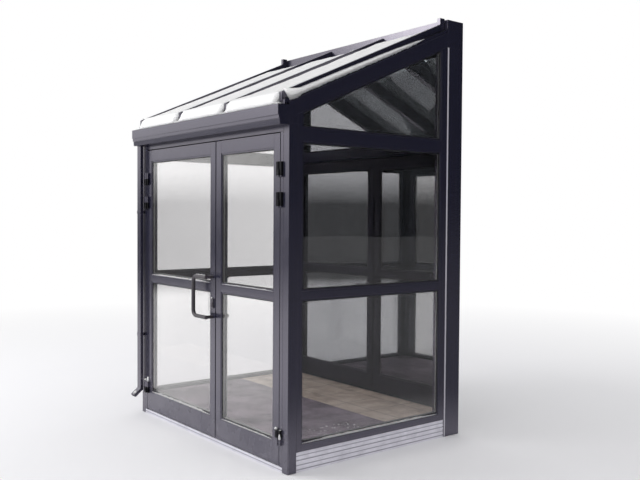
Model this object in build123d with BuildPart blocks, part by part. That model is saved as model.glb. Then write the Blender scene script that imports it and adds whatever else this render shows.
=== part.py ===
"""Glazed entrance vestibule: a lean-to aluminium porch with two pairs of glazed doors.

Millimetres. +X is to the right seen from outside, +Y goes into the building, +Z is up.
The origin is on the ground, at the middle of the width and of the depth.
Distances called "in" are measured inwards from the front face of the doors.
"""
from build123d import *
import os
from math import cos, radians, sin, tan

os.makedirs("parts", exist_ok=True)

# Overall size
overall_width = 2040.0
facade_in = 1420.0
rear_depth = 160.0
roof_pitch = 24.0

# Floor and base
floor_level = 165.0
plinth_top = 129.0
finish_thickness = 8.0
tile_strip_depth = 482.0
threshold_height = 32.0
plinth_setback = 6.0
plinth_rib_pitch = 20.0
plinth_rib_depth = 4.0

# Frame sections
side_wall = 60.0
post_depth = 69.0
post_edge = 3.0
jamb_width = 30.0
frame_depth = 66.0
stop_depth = 11.0
stop_lap = 10.0
front_head = 46.0
back_head = 88.0
rafter_foot_rise = 32.0
rafter_width = 60.0
rafter_depth = 92.0
wall_plate_drop = 6.0
upstand_height = 67.0

# Glazed side walls
side_front_upright = 35.0
side_rear_upright = 62.0
sill_rail = 50.0
side_mid_rail = 53.0
side_mid_level = 1094.0
transom_height = 84.0
transom_level = 2088.0

# Glass and glazing beads
glass_thickness = 24.0
glass_recess = 8.0
bead_width = 10.0
bead_setback = 4.0

# Door leaves
leaf_thickness = 60.0
leaf_gap = 6.0
meeting_gap = 11.0
meeting_offset = 145.0
stile_width = 66.0
top_rail = 88.0
mid_rail = 54.0
bottom_rail = 147.0
front_leaf_bottom = 40.0
front_leaf_top = 2140.0
front_mid_rail_up = 1045.0
back_leaf_bottom = 173.0
back_leaf_top = 2100.0
back_mid_rail_up = 960.0
back_door_setback = 80.0

# Hinges
hinge_height = 95.0
hinge_axis_out = 12.0
knuckle_radius = 10.0
hinge_proud = 16.0
hinge_block_near = 11.5
hinge_block_far = 32.0
knuckle_slit = 0.5
hinge_from_bottom = 180.0
hinge_from_top = 228.0
hinge_spacing = 191.0

# Pull handles, lock and levers
pull_radius = 14.0
pull_reach = 60.0
pull_offset = 172.0
pull_height = 284.0
pull_bend = 42.0
pull_centre_up = 1001.0
stand_off_radius = 12.0
lock_below_centre = 46.0
escutcheon_width = 34.0
escutcheon_height = 72.0
escutcheon_thickness = 8.0
escutcheon_corner = 8.0
cylinder_radius = 8.5
cylinder_neck = 10.0
cylinder_drop = 20.0
cylinder_proud = 4.0
lever_up = 880.0
lever_reach = 48.0
lever_length = 120.0
lever_radius = 9.0
rose_radius = 25.0
rose_thickness = 8.0

# Roof covering
cap_width = 30.0
cap_height = 47.5
cap_overhang = 35.0
cap_nose_drop = 12.0
edge_cap_inset = 45.0
glass_overhang = 30.0
pane_joint = 10.0
pane_edge_inset = 5.0
flashing_thickness = 4.0
flashing_lap = 124.0
upstand_thickness = 6.0
stop_end_length = 46.0
stop_end_rise = 28.0
seat_gap = 0.3

# Gutter and downpipe
gutter_reach = 85.0
gutter_below_glass = 5.0
gutter_height = 125.0
gutter_wall = 3.0
gutter_overhang = 15.0
gutter_step_one = 66.0
gutter_step_two = 88.0
gutter_step_in = 6.0
gutter_foot_in = 15.0
pipe_width = 60.0
pipe_depth = 24.0
pipe_wall = 2.5
pipe_stand_off = 18.0
pipe_past_wall = 10.0
shoe_bend_level = 195.0
shoe_length = 80.0
shoe_angle = 39.0
clip_height = 24.0
clip_thickness = 2.0
lower_clip_level = 630.0
upper_clip_level = 1632.0
clip_stem_width = 14.0
clip_foot_width = 36.0

# Snow on the roof
snow_eave_depth = 49.0
snow_depth = 26.0
snow_edge_depth = 4.0
snow_eave_run = 75.0
snow_drop_run = 70.0
snow_end_from_facade = 170.0
ledge_snow_from_facade = 250.0
snow_lip_setback = 4.0
snow_lip_depth = 7.0

# Places worked out from the sizes above
half_width = overall_width / 2
inner_face = half_width - side_wall
jamb_face = inner_face - jamb_width
leaf_edge = jamb_face - leaf_gap
stop_face = leaf_edge - stop_lap
hinge_x = jamb_face - leaf_gap / 2
overall_depth = facade_in + rear_depth
front_y = -overall_depth / 2
facade_y = front_y + facade_in
rear_y = overall_depth / 2
slope = tan(radians(roof_pitch))
upright_scale = 1 / cos(radians(roof_pitch))
threshold_depth = frame_depth + stop_depth
side_sill_top = plinth_top + sill_rail
slab_top = floor_level - finish_thickness
post_top = front_leaf_top + leaf_gap + front_head
back_head_top = back_leaf_top + leaf_gap + back_head
rafter_foot_level = post_top + rafter_foot_rise


def save(piece, label):
    """Names a finished piece and writes it as its own STEP file."""
    piece.part.label = label
    export_step(piece.part, f"parts/{label}.step")


def block(x, y, z):
    """A rectangular bar between pairs of limits, added to the open part."""
    with BuildSketch(Plane.XY.offset(z[0])) as section:
        with Locations(((x[0] + x[1]) / 2, (y[0] + y[1]) / 2)):
            Rectangle(x[1] - x[0], y[1] - y[0])
    extrude(section.sketch, amount=z[1] - z[0])


def side_profile(points, x):
    """A profile in the Y-Z plane, drawn as (y, z) points and extruded from x[0] to x[1]."""
    with BuildSketch(Plane.YZ.offset(x[0])) as section:
        with BuildLine():
            Polyline(*points, close=True)
        make_face()
    extrude(section.sketch, amount=x[1] - x[0])


def both_sides(x_from, x_to):
    """The same pair of limits on the left and on the right of the middle."""
    return ((-x_to, -x_from), (x_from, x_to))


def rafter_under(y):
    """Height of the underside of the rafters at a depth y."""
    return rafter_foot_level + slope * (y - front_y)


def rafter_over(y):
    """Height of the top of the rafters, which carries the roof glass."""
    return rafter_under(y) + rafter_depth * upright_scale


def glass_over(y):
    """Height of the upper face of the roof glass."""
    return rafter_over(y) + glass_thickness * upright_scale


def sloping_bar(x, y, lower, upper):
    """A bar that follows the roof, with upright ends."""
    points = [(y[0], lower(y[0])), (y[1], lower(y[1])), (y[1], upper(y[1])), (y[0], upper(y[0]))]
    side_profile(points, x)


wall_plate_bottom = rafter_under(facade_y) - wall_plate_drop
wall_plate_top = glass_over(facade_y) + upstand_height
glass_front = front_y - glass_overhang
gutter_top = rafter_over(glass_front) - gutter_below_glass
gutter_bottom = gutter_top - gutter_height

# Floor slab, floor finish, threshold and plinths
slab_front = front_y + threshold_depth
finish_break = facade_y - tile_strip_depth

with BuildPart() as floor_slab:
    block((-inner_face, inner_face), (slab_front, rear_y), (0, slab_top))
save(floor_slab, "floor_slab")

with BuildPart() as entrance_mat:
    block((-inner_face, inner_face), (slab_front, finish_break), (slab_top, floor_level))
save(entrance_mat, "entrance_mat")

with BuildPart() as floor_tiles:
    block((-inner_face, inner_face), (finish_break, rear_y), (slab_top, floor_level))
save(floor_tiles, "floor_tiles")

with BuildPart() as front_threshold:
    block((-inner_face, inner_face), (front_y, slab_front), (0, threshold_height))
    block((-stop_face, stop_face), (front_y + frame_depth, slab_front), (threshold_height, floor_level))
save(front_threshold, "front_threshold")


def plinth_outline():
    """The ribbed outer face of a plinth, as (x, z) points for the right side."""
    outer = half_width - plinth_setback
    rib_count = int(plinth_top / plinth_rib_pitch)
    points = [(inner_face, 0), (outer, 0)]
    for rib in range(1, rib_count + 1):
        rib_top = rib * plinth_rib_pitch
        points.append((outer, rib_top - 2 * plinth_rib_depth))
        points.append((outer - plinth_rib_depth, rib_top - plinth_rib_depth))
        points.append((outer, rib_top))
    points.append((outer, plinth_top))
    points.append((inner_face, plinth_top))
    return points


with BuildPart() as side_plinths:
    with BuildSketch(Plane.XZ.offset(-facade_y)):
        with BuildLine():
            Polyline(*plinth_outline(), close=True)
        make_face()
        mirror(about=Plane.YZ)
    extrude(amount=facade_in - post_depth)
save(side_plinths, "side_plinths")

# Posts, beams and side frames
with BuildPart() as corner_posts:
    post_centre_x = half_width - side_wall / 2
    with BuildSketch():
        with Locations((-post_centre_x, front_y + post_depth / 2), (post_centre_x, front_y + post_depth / 2)):
            RectangleRounded(side_wall, post_depth, post_edge)
    extrude(amount=post_top)
save(corner_posts, "corner_posts")

with BuildPart() as eaves_beam:
    beam_back = front_y + post_depth
    side_profile([(front_y, post_top), (beam_back, post_top), (beam_back, rafter_over(beam_back)),
                  (front_y, rafter_over(front_y))], (-half_width, half_width))
save(eaves_beam, "eaves_beam")

with BuildPart() as wall_posts:
    for x in both_sides(inner_face, half_width):
        block(x, (facade_y, rear_y), (0, wall_plate_bottom))
save(wall_posts, "wall_posts")

with BuildPart() as wall_plate:
    block((-half_width, half_width), (facade_y, rear_y), (wall_plate_bottom, wall_plate_top))
save(wall_plate, "wall_plate")

upright_front = (front_y + post_depth, front_y + post_depth + side_front_upright)
upright_rear = (facade_y - side_rear_upright, facade_y)
side_bay = (upright_front[1], upright_rear[0])


def plinth_level(y):
    """The side frames stand on the plinth."""
    return plinth_top


with BuildPart() as side_uprights:
    for x in both_sides(inner_face, half_width):
        sloping_bar(x, upright_front, plinth_level, rafter_under)
        sloping_bar(x, upright_rear, plinth_level, rafter_under)
save(side_uprights, "side_uprights")

with BuildPart() as side_rails:
    for x in both_sides(inner_face, half_width):
        block(x, side_bay, (plinth_top, side_sill_top))
        block(x, side_bay, (side_mid_level, side_mid_level + side_mid_rail))
        block(x, side_bay, (transom_level, transom_level + transom_height))
save(side_rails, "side_rails")

with BuildPart() as edge_rafters:
    for x in both_sides(half_width - rafter_width, half_width):
        sloping_bar(x, (front_y + post_depth, facade_y), rafter_under, rafter_over)
save(edge_rafters, "edge_rafters")

edge_cap_x = half_width - edge_cap_inset
cap_centres = [edge_cap_x * share for share in (-1, -1 / 3, 1 / 3, 1)]

with BuildPart() as inner_rafters:
    for centre in cap_centres[1:3]:
        limits = (centre - rafter_width / 2, centre + rafter_width / 2)
        sloping_bar(limits, (front_y + post_depth, facade_y), rafter_under, rafter_over)
save(inner_rafters, "inner_rafters")

# Side glass, in three panes a side, and its beads
side_glass_outer = half_width - glass_recess
side_glass_inner = side_glass_outer - glass_thickness
lower_pane = (side_sill_top, side_mid_level)
upper_pane = (side_mid_level + side_mid_rail, transom_level)
gable_sill = transom_level + transom_height


def pane_outlines():
    """The three panes of a side wall, as lists of (y, z) corners."""
    y0, y1 = side_bay
    outlines = []
    for z0, z1 in (lower_pane, upper_pane):
        outlines.append([(y0, z0), (y1, z0), (y1, z1), (y0, z1)])
    outlines.append([(y0, gable_sill), (y1, gable_sill), (y1, rafter_under(y1)), (y0, rafter_under(y0))])
    return outlines


def bead_ring(outline, plane, depth):
    """A glazing bead: a mitred ring inside a pane's outline."""
    with BuildSketch(plane) as ring:
        with BuildLine():
            Polyline(*outline, close=True)
        make_face()
        offset(amount=-bead_width, kind=Kind.INTERSECTION, mode=Mode.SUBTRACT)
    extrude(ring.sketch, amount=depth)


with BuildPart() as side_glass:
    for x in both_sides(side_glass_inner, side_glass_outer):
        for outline in pane_outlines():
            side_profile(outline, x)
save(side_glass, "side_glass")

outer_bead_depth = glass_recess - bead_setback
side_bead_depth = side_wall - glass_recess - glass_thickness - bead_setback

with BuildPart() as side_beads:
    for outline in pane_outlines():
        bead_ring(outline, Plane.YZ.offset(-side_glass_outer - outer_bead_depth), outer_bead_depth)
        bead_ring(outline, Plane.YZ.offset(-side_glass_inner), side_bead_depth)
        bead_ring(outline, Plane.YZ.offset(side_glass_inner - side_bead_depth), side_bead_depth)
        bead_ring(outline, Plane.YZ.offset(side_glass_outer), outer_bead_depth)
save(side_beads, "side_beads")


# Fixed frames of the two door openings
def door_unit(y, foot, leaf, head, mid):
    """What sets one pair of doors: its place, levels, and hinge heights above the leaf's bottom."""
    top_hinge = leaf[1] - leaf[0] - hinge_from_top
    return {"y": y, "foot": foot, "leaf": leaf, "head": head, "mid": mid,
            "hinges": (hinge_from_bottom, top_hinge - hinge_spacing, top_hinge)}


front_unit = door_unit(front_y, threshold_height, (front_leaf_bottom, front_leaf_top), post_top,
                       front_mid_rail_up)
back_unit = door_unit(facade_y + back_door_setback, floor_level, (back_leaf_bottom, back_leaf_top),
                      back_head_top, back_mid_rail_up)
door_units = (front_unit, back_unit)

with BuildPart() as door_jambs:
    for unit in door_units:
        head_under = unit["leaf"][1] + leaf_gap
        for x in both_sides(jamb_face, inner_face):
            block(x, (unit["y"], unit["y"] + frame_depth), (unit["foot"], head_under))
save(door_jambs, "door_jambs")

with BuildPart() as door_heads:
    for unit in door_units:
        head_under = unit["leaf"][1] + leaf_gap
        block((-inner_face, inner_face), (unit["y"], unit["y"] + frame_depth), (head_under, unit["head"]))
save(door_heads, "door_heads")

with BuildPart() as door_stops:
    for unit in door_units:
        stop_y = (unit["y"] + frame_depth, unit["y"] + frame_depth + stop_depth)
        for x in both_sides(stop_face, inner_face):
            block(x, stop_y, (unit["foot"], unit["head"]))
        between = stop_face - seat_gap
        block((-between, between), stop_y, (unit["leaf"][1] - stop_lap, unit["head"]))
save(door_stops, "door_stops")

fanlight_y = back_unit["y"] + (frame_depth - glass_thickness) / 2
fanlight_bead = (frame_depth - glass_thickness) / 2 - bead_setback
fanlight_outline =[(-inner_face, back_head_top), (inner_face, back_head_top),
                    (inner_face, wall_plate_bottom), (-inner_face, wall_plate_bottom)]

with BuildPart() as fanlight_glass:
    block((-inner_face, inner_face), (fanlight_y, fanlight_y + glass_thickness),
          (back_head_top, wall_plate_bottom))
save(fanlight_glass, "fanlight_glass")

with BuildPart() as fanlight_beads:
    fanlight_back = fanlight_y + glass_thickness + fanlight_bead
    bead_ring(fanlight_outline, Plane.XZ.offset(-fanlight_y), fanlight_bead)
    bead_ring(fanlight_outline, Plane.XZ.offset(-fanlight_back), fanlight_bead)
save(fanlight_beads, "fanlight_beads")


# Hinges
def hinge_half(side, plane_y, base, on_leaf):
    """One half of a surface hinge: a block beside the axis, and its knuckle on the axis.

    side is -1 or 1 for the hand. The right leaves carry the upper knuckle and the left leaves the
    lower one. Both blocks are as tall as the hinge.
    """
    axis_y = plane_y - hinge_axis_out
    axis_x = hinge_x * side
    reach = -side if on_leaf else side
    upper = on_leaf == (side > 0)
    middle = base + hinge_height / 2
    if upper:
        knuckle_z = (middle + knuckle_slit / 2, base + hinge_height)
    else:
        knuckle_z = (base, middle - knuckle_slit / 2)
    block_x = sorted((axis_x + reach * hinge_block_near, axis_x + reach * hinge_block_far))
    block(block_x, (plane_y - hinge_proud, plane_y), (base, base + hinge_height))
    web_x = sorted((axis_x, axis_x + reach * hinge_block_near))
    block(web_x, (axis_y - knuckle_radius, plane_y - knuckle_slit), knuckle_z)
    with BuildSketch(Plane.XY.offset(knuckle_z[0])) as knuckle:
        with Locations((axis_x, axis_y)):
            Circle(knuckle_radius)
    extrude(knuckle.sketch, amount=knuckle_z[1] - knuckle_z[0])


with BuildPart() as frame_hinges:
    for unit in door_units:
        for side in (-1, 1):
            for up in unit["hinges"]:
                hinge_half(side, unit["y"], unit["leaf"][0] + up - hinge_height / 2, on_leaf=False)
save(frame_hinges, "frame_hinges")


# Door leaves
def build_leaf(name, unit, side):
    """One door leaf: two stiles, three rails, two panes, their beads and its hinge halves."""
    y0 = unit["y"]
    y1 = y0 + leaf_thickness
    bottom, top = unit["leaf"]
    if side < 0:
        x0, x1 = -leaf_edge, meeting_offset - meeting_gap / 2
    else:
        x0, x1 = meeting_offset + meeting_gap / 2, leaf_edge
    clear_x = (x0 + stile_width, x1 - stile_width)
    mid_low = bottom + unit["mid"]
    mid_high = mid_low + mid_rail
    panes = ((bottom + bottom_rail, mid_low), (mid_high, top - top_rail))
    glass_y = y0 + glass_recess
    inner_bead_depth = leaf_thickness - glass_recess - glass_thickness - bead_setback

    with BuildPart() as stiles:
        block((x0, clear_x[0]), (y0, y1), (bottom, top))
        block((clear_x[1], x1), (y0, y1), (bottom, top))
    save(stiles, f"{name}_stiles")

    with BuildPart() as rails:
        block(clear_x, (y0, y1), (bottom, bottom + bottom_rail))
        block(clear_x, (y0, y1), (mid_low, mid_high))
        block(clear_x, (y0, y1), (top - top_rail, top))
    save(rails, f"{name}_rails")

    with BuildPart() as glass:
        for z in panes:
            block(clear_x, (glass_y, glass_y + glass_thickness), z)
    save(glass, f"{name}_glass")

    with BuildPart() as beads:
        for z in panes:
            corners = [(clear_x[0], z[0]), (clear_x[1], z[0]), (clear_x[1], z[1]), (clear_x[0], z[1])]
            bead_ring(corners, Plane.XZ.offset(-glass_y), outer_bead_depth)
            bead_ring(corners, Plane.XZ.offset(bead_setback - y1), inner_bead_depth)
    save(beads, f"{name}_beads")

    with BuildPart() as hinges:
        for up in unit["hinges"]:
            hinge_half(side, y0, bottom + up - hinge_height / 2, on_leaf=True)
    save(hinges, f"{name}_hinges")


build_leaf("front_left", front_unit, -1)
build_leaf("front_right", front_unit, 1)
build_leaf("back_left", back_unit, -1)
build_leaf("back_right", back_unit, 1)

# Pull handles, lock plates and levers on the left leaves
handle_x = meeting_offset - meeting_gap / 2 - stile_width / 2
pull_centre = front_leaf_bottom + pull_centre_up


def pull_handle(face_y, out):
    """A bent tube that reaches across the glass, held off the stile by two stand-offs."""
    bar_x = handle_x - pull_offset
    bar_y = face_y + out * pull_reach
    tube_end = handle_x + pull_radius
    low, high = pull_centre - pull_height / 2, pull_centre + pull_height / 2
    with BuildLine() as path:
        FilletPolyline((tube_end, bar_y, high), (bar_x, bar_y, high), (bar_x, bar_y, low),
                       (tube_end, bar_y, low), radius=pull_bend)
    with BuildSketch(Plane(origin=(tube_end, bar_y, high), z_dir=(-1, 0, 0))) as tube:
        Circle(pull_radius)
    sweep(tube.sketch, path=path.line)
    for level in (low, high):
        with BuildSketch(Plane(origin=(handle_x, face_y, level), z_dir=(0, out, 0))) as stand_off:
            Circle(stand_off_radius)
        extrude(stand_off.sketch, amount=pull_reach)


with BuildPart() as pull_handles:
    pull_handle(front_y, -1)
    pull_handle(front_y + leaf_thickness, 1)
save(pull_handles, "pull_handles")

with BuildPart() as lock_plates:
    lock_z = pull_centre - lock_below_centre
    for face, out in ((front_y, -1), (front_y + leaf_thickness, 1)):
        plate_plane = Plane(origin=(handle_x, face, lock_z), x_dir=(1, 0, 0), z_dir=(0, out, 0))
        with BuildSketch(plate_plane):
            RectangleRounded(escutcheon_width, escutcheon_height, escutcheon_corner)
        extrude(amount=escutcheon_thickness)
        toward_foot = out * cylinder_drop
        with BuildSketch(plate_plane):
            Circle(cylinder_radius)
            with Locations((0, toward_foot / 2)):
                Rectangle(cylinder_neck, cylinder_drop)
            with Locations((0, toward_foot)):
                Circle(cylinder_neck / 2)
        extrude(amount=escutcheon_thickness + cylinder_proud)
save(lock_plates, "lock_plates")

with BuildPart() as lever_handles:
    lever_z = back_leaf_bottom + lever_up
    for face, out in ((back_unit["y"], -1), (back_unit["y"] + leaf_thickness, 1)):
        foot = Plane(origin=(handle_x, face, lever_z), x_dir=(1, 0, 0), z_dir=(0, out, 0))
        with BuildSketch(foot):
            Circle(rose_radius)
        extrude(amount=rose_thickness)
        with BuildLine() as lever_path:
            Polyline((handle_x, face, lever_z), (handle_x, face + out * lever_reach, lever_z),
                     (handle_x - lever_length, face + out * lever_reach, lever_z))
        with BuildSketch(foot) as grip:
            Circle(lever_radius)
        sweep(grip.sketch, path=lever_path.line, transition=Transition.RIGHT)
save(lever_handles, "lever_handles")

# Roof covering
with BuildPart() as roof_glass:
    roof_limits = (glass_front, facade_y - upstand_thickness)
    joints = [cap_centres[1], cap_centres[2]]
    lefts = [-half_width + pane_edge_inset] + [joint + pane_joint / 2 for joint in joints]
    rights = [joint - pane_joint / 2 for joint in joints] + [half_width - pane_edge_inset]
    for limits in zip(lefts, rights):
        sloping_bar(limits, roof_limits, rafter_over, glass_over)
save(roof_glass, "roof_glass")


def cap_over(y):
    """Height of the top of the cap bars."""
    return glass_over(y) + cap_height * upright_scale


with BuildPart() as rafter_caps:
    cap_front = front_y - cap_overhang
    cap_back = facade_y - upstand_thickness - seat_gap
    nose_back = glass_front - seat_gap
    cap_profile = [(cap_front, glass_over(cap_front) - cap_nose_drop),
                   (nose_back, glass_over(cap_front) - cap_nose_drop),
                   (nose_back, glass_over(nose_back)), (cap_back, glass_over(cap_back)),
                   (cap_back, cap_over(cap_back)), (cap_front, cap_over(cap_front))]
    for centre in cap_centres:
        side_profile(cap_profile, (centre - cap_width / 2, centre + cap_width / 2))
save(rafter_caps, "rafter_caps")


def flashing_over(y):
    """Height of the top of the flashing's apron on the glass."""
    return glass_over(y) + flashing_thickness * upright_scale


# Flashing: upstand, one apron a bay, and a stop end on each edge cap
bays = [(cap_centres[i] + cap_width / 2 + seat_gap, cap_centres[i + 1] - cap_width / 2 - seat_gap)
        for i in range(3)]

with BuildPart() as wall_flashing:
    upstand_front = facade_y - upstand_thickness
    block((-half_width, half_width), (upstand_front, facade_y), (glass_over(upstand_front), wall_plate_top))
    for bay in bays:
        sloping_bar(bay, (upstand_front - flashing_lap, upstand_front), glass_over, flashing_over)
    stop_y = (upstand_front - stop_end_length, upstand_front)
    stop_top = cap_over(upstand_front) + stop_end_rise
    stop_profile = [(stop_y[0], cap_over(stop_y[0])), (stop_y[1], cap_over(stop_y[1])),
                    (stop_y[1], stop_top), (stop_y[0], stop_top)]
    for x in both_sides(edge_cap_x - cap_width / 2, edge_cap_x + cap_width / 2):
        side_profile(stop_profile, x)
save(wall_flashing, "wall_flashing")

# Gutter, its end caps, and the downpipe
gutter_left = -half_width - gutter_overhang
gutter_face = front_y - gutter_reach
pipe_x = (-half_width - pipe_past_wall, -half_width - pipe_past_wall + pipe_width)
pipe_y = (front_y - pipe_stand_off - pipe_depth, front_y - pipe_stand_off)
pipe_centre = ((pipe_x[0] + pipe_x[1]) / 2, (pipe_y[0] + pipe_y[1]) / 2)


def gutter_outline():
    """The gutter's outer line from its front lip, down and under, to its back edge."""
    one, two = gutter_top - gutter_step_one, gutter_top - gutter_step_two
    slant = gutter_step_in / 2
    return [(gutter_face, gutter_top), (gutter_face, one), (gutter_face + gutter_step_in, one - slant),
            (gutter_face + gutter_step_in, two), (gutter_face + 2 * gutter_step_in, two - slant),
            (gutter_face + gutter_foot_in, gutter_bottom), (front_y, gutter_bottom), (front_y, gutter_top)]


def gutter_body(thick, x):
    """The gutter's section, as a shell or filled, extruded along X."""
    with BuildSketch(Plane.YZ.offset(x[0])) as section:
        with BuildLine():
            Polyline(*gutter_outline())
            if thick:
                offset(amount=gutter_wall, side=Side.LEFT, kind=Kind.INTERSECTION)
            else:
                Line((front_y, gutter_top), (gutter_face, gutter_top))
        make_face()
    extrude(section.sketch, amount=x[1] - x[0])


with BuildPart() as gutter:
    gutter_body(True, (gutter_left + gutter_wall, half_width - gutter_wall))
    with BuildSketch(Plane.XY.offset(gutter_bottom)):
        with Locations(pipe_centre):
            Rectangle(pipe_width - 2 * pipe_wall, pipe_depth - 2 * pipe_wall)
    extrude(amount=gutter_wall, mode=Mode.SUBTRACT)
save(gutter, "gutter")

with BuildPart() as gutter_end_caps:
    gutter_body(False, (gutter_left, gutter_left + gutter_wall))
    gutter_body(False, (half_width - gutter_wall, half_width))
save(gutter_end_caps, "gutter_end_caps")


def pipe_section(width, depth, top, mode):
    """A rectangular tube swept down the post and out through the shoe."""
    cx, cy = pipe_centre
    dip = radians(shoe_angle)
    shoe_end = (cy - shoe_length * cos(dip), shoe_bend_level - shoe_length * sin(dip))
    with BuildLine() as path:
        Polyline((cx, cy, top), (cx, cy, shoe_bend_level), (cx, *shoe_end))
    with BuildSketch(Plane.XY.offset(top)) as section:
        with Locations((cx, cy)):
            Rectangle(width, depth)
    sweep(section.sketch, path=path.line, transition=Transition.RIGHT, mode=mode)


with BuildPart() as downpipe:
    pipe_section(pipe_width, pipe_depth, gutter_bottom, Mode.ADD)
    pipe_section(pipe_width - 2 * pipe_wall, pipe_depth - 2 * pipe_wall, gutter_bottom, Mode.SUBTRACT)
save(downpipe, "downpipe")

with BuildPart() as downpipe_clips:
    for level in (lower_clip_level, upper_clip_level):
        with BuildSketch(Plane.XY.offset(level)):
            with Locations(pipe_centre):
                Rectangle(pipe_width + 2 * clip_thickness, pipe_depth + 2 * clip_thickness)
                Rectangle(pipe_width, pipe_depth, mode=Mode.SUBTRACT)
            stem_length = pipe_stand_off - clip_thickness
            with Locations((pipe_centre[0], front_y - stem_length / 2)):
                Rectangle(clip_stem_width, stem_length)
            with Locations((pipe_centre[0], front_y - clip_thickness / 2)):
                Rectangle(clip_foot_width, clip_thickness)
        extrude(amount=clip_height)
save(downpipe_clips, "downpipe_clips")


# Snow: a bed in each bay that reaches over the gutter, and a strip outside each edge cap
def snow_bed(x, end_y, lip):
    """Snow on the glass, deepest at the eave. lip is the outline of what lies over the gutter."""
    eave_y = glass_front + snow_eave_run
    drop_y = eave_y + snow_drop_run
    top = [(end_y, glass_over(end_y) + snow_edge_depth), (drop_y, glass_over(drop_y) + snow_depth),
           (eave_y, glass_over(eave_y) + snow_eave_depth),
           (glass_front, glass_over(glass_front) + snow_eave_depth)]
    side_profile([(glass_front, glass_over(glass_front)), (end_y, glass_over(end_y))] + top + lip, x)


with BuildPart() as roof_snow:
    lip_y = gutter_face + snow_lip_setback
    lip_under = gutter_top + seat_gap
    clear_of_glass = glass_front - seat_gap
    gutter_lip = [(lip_y, lip_under + snow_lip_depth), (lip_y, lip_under), (clear_of_glass, lip_under),
                  (clear_of_glass, glass_over(glass_front))]
    for bay in bays:
        snow_bed(bay, facade_y - snow_end_from_facade, gutter_lip)
    for x in both_sides(edge_cap_x + cap_width / 2 + seat_gap, half_width - pane_edge_inset):
        snow_bed(x, facade_y - ledge_snow_from_facade, [])
save(roof_snow, "roof_snow")
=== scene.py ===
"""Looks of the glazed entrance vestibule: finishes, double glazing, seals, snow, studio and camera.

Metres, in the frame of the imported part: +X right seen from outside, +Y into the building, +Z up.
"""
import math
import random

import bmesh
import bpy
from mathutils import Matrix, Vector, noise


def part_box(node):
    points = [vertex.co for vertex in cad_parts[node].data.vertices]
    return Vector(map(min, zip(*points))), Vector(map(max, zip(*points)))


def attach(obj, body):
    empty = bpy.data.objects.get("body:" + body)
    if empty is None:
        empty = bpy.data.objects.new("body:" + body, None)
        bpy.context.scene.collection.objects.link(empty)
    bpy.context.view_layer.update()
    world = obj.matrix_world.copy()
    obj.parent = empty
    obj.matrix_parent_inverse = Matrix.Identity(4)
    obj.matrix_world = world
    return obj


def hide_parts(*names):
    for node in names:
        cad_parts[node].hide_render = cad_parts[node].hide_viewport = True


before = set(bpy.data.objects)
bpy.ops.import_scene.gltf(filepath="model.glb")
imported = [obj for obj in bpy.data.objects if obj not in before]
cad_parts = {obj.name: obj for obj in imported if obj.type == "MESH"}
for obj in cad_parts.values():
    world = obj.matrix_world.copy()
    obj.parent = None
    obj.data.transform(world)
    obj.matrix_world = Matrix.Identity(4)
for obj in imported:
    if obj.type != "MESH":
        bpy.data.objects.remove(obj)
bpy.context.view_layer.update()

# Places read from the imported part
X, Y, Z = 0, 1, 2


def islands(node_name):
    """The separate solids of a CAD node, each as its list of distinct corners."""
    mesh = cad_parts[node_name].data
    keys = [tuple(round(c, 5) for c in v.co) for v in mesh.vertices]
    parent = {key: key for key in keys}

    def root(key):
        while parent[key] != key:
            key = parent[key]
        return key

    for face in mesh.polygons:
        first = root(keys[face.vertices[0]])
        for index in face.vertices[1:]:
            parent[root(keys[index])] = first
    groups = {}
    for key in parent:
        groups.setdefault(root(key), []).append(Vector(key))
    return list(groups.values())


def extent(corners, axis):
    """The lowest and the highest place of some corners along an axis."""
    values = [corner[axis] for corner in corners]
    return min(values), max(values)


post_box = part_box("corner_posts")
wall_post_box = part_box("wall_posts")
side_x = post_box[1].x
front_y = post_box[0].y
leaf_names = ("front_left", "front_right", "back_left", "back_right")
hinge_blocks = islands("frame_hinges")
hinge_levels = sorted({round(sum(extent(block, Z)) / 2, 4) for block in hinge_blocks})

# Double glazing: each sheet's share of the pane's thickness, how far the seals stand out, and the
# outer and inner lines of seals and spacers, measured in from the pane's edge
sheet_share = 0.25
gasket_proud = 0.0015
gasket_inset = (0.008, 0.0130)
spacer_inset = (0.002, 0.0165)

# Light: levels of the world away from and toward the bright side, for mirror rays, and the least
# level for all other rays. The horizon is a darker band in what is mirrored
bright_side = Vector((-0.72, -0.66, 0.22)).normalized()
key_place = Vector((-3.6, -5.2, 5.4))
key_target = Vector((0.0, 0.0, 1.3))
key_size = 4.0
key_power = 190.0
world_levels = (0.01, 1.25)
diffuse_floor = 0.88
horizon_band = (0.015, 0.055)
horizon_level = 0.13

# Floor: distances from the middle over which it fades into white for the camera, into its mirrored
# tones for mirror rays, and from those into the horizon
floor_radius = 60.0
floor_sides = 96
floor_drop = 0.0005
floor_fade = (3.2, 9.0)
mirror_fade = (1.3, 2.6)
mirrored_floor = (10.5, 13.5)
mirrored_tones = (0.16, 1.15)

# Camera of the photograph, whose frame is 640 by 480 pixels
image_width = 640
focal_pixels = 785.19
sensor_width = 36.0
camera_place = Vector((4.949, -3.652, 1.617))
camera_yaw = math.radians(51.644)
camera_pitch = math.radians(-1.7085)
camera_roll = math.radians(0.383)


# Node helpers
def put(tree, kind, inputs=None, **settings):
    """Adds a node. Inputs are plain values or the output sockets of other nodes."""
    node = tree.nodes.new(kind)
    for key, value in settings.items():
        setattr(node, key, value)
    for key, value in (inputs or {}).items():
        feed(tree, node.inputs[key], value)
    return node


def feed(tree, socket, value):
    """Links an output to a socket, or sets it to a plain value. A colour is red, green and blue."""
    if isinstance(value, bpy.types.NodeSocket):
        tree.links.new(value, socket)
    elif socket.type == "RGBA":
        socket.default_value = (*value, 1.0)
    else:
        socket.default_value = value


def source(shader, name):
    """The output that feeds a socket of the shader."""
    return shader.inputs[name].links[0].from_socket


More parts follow.
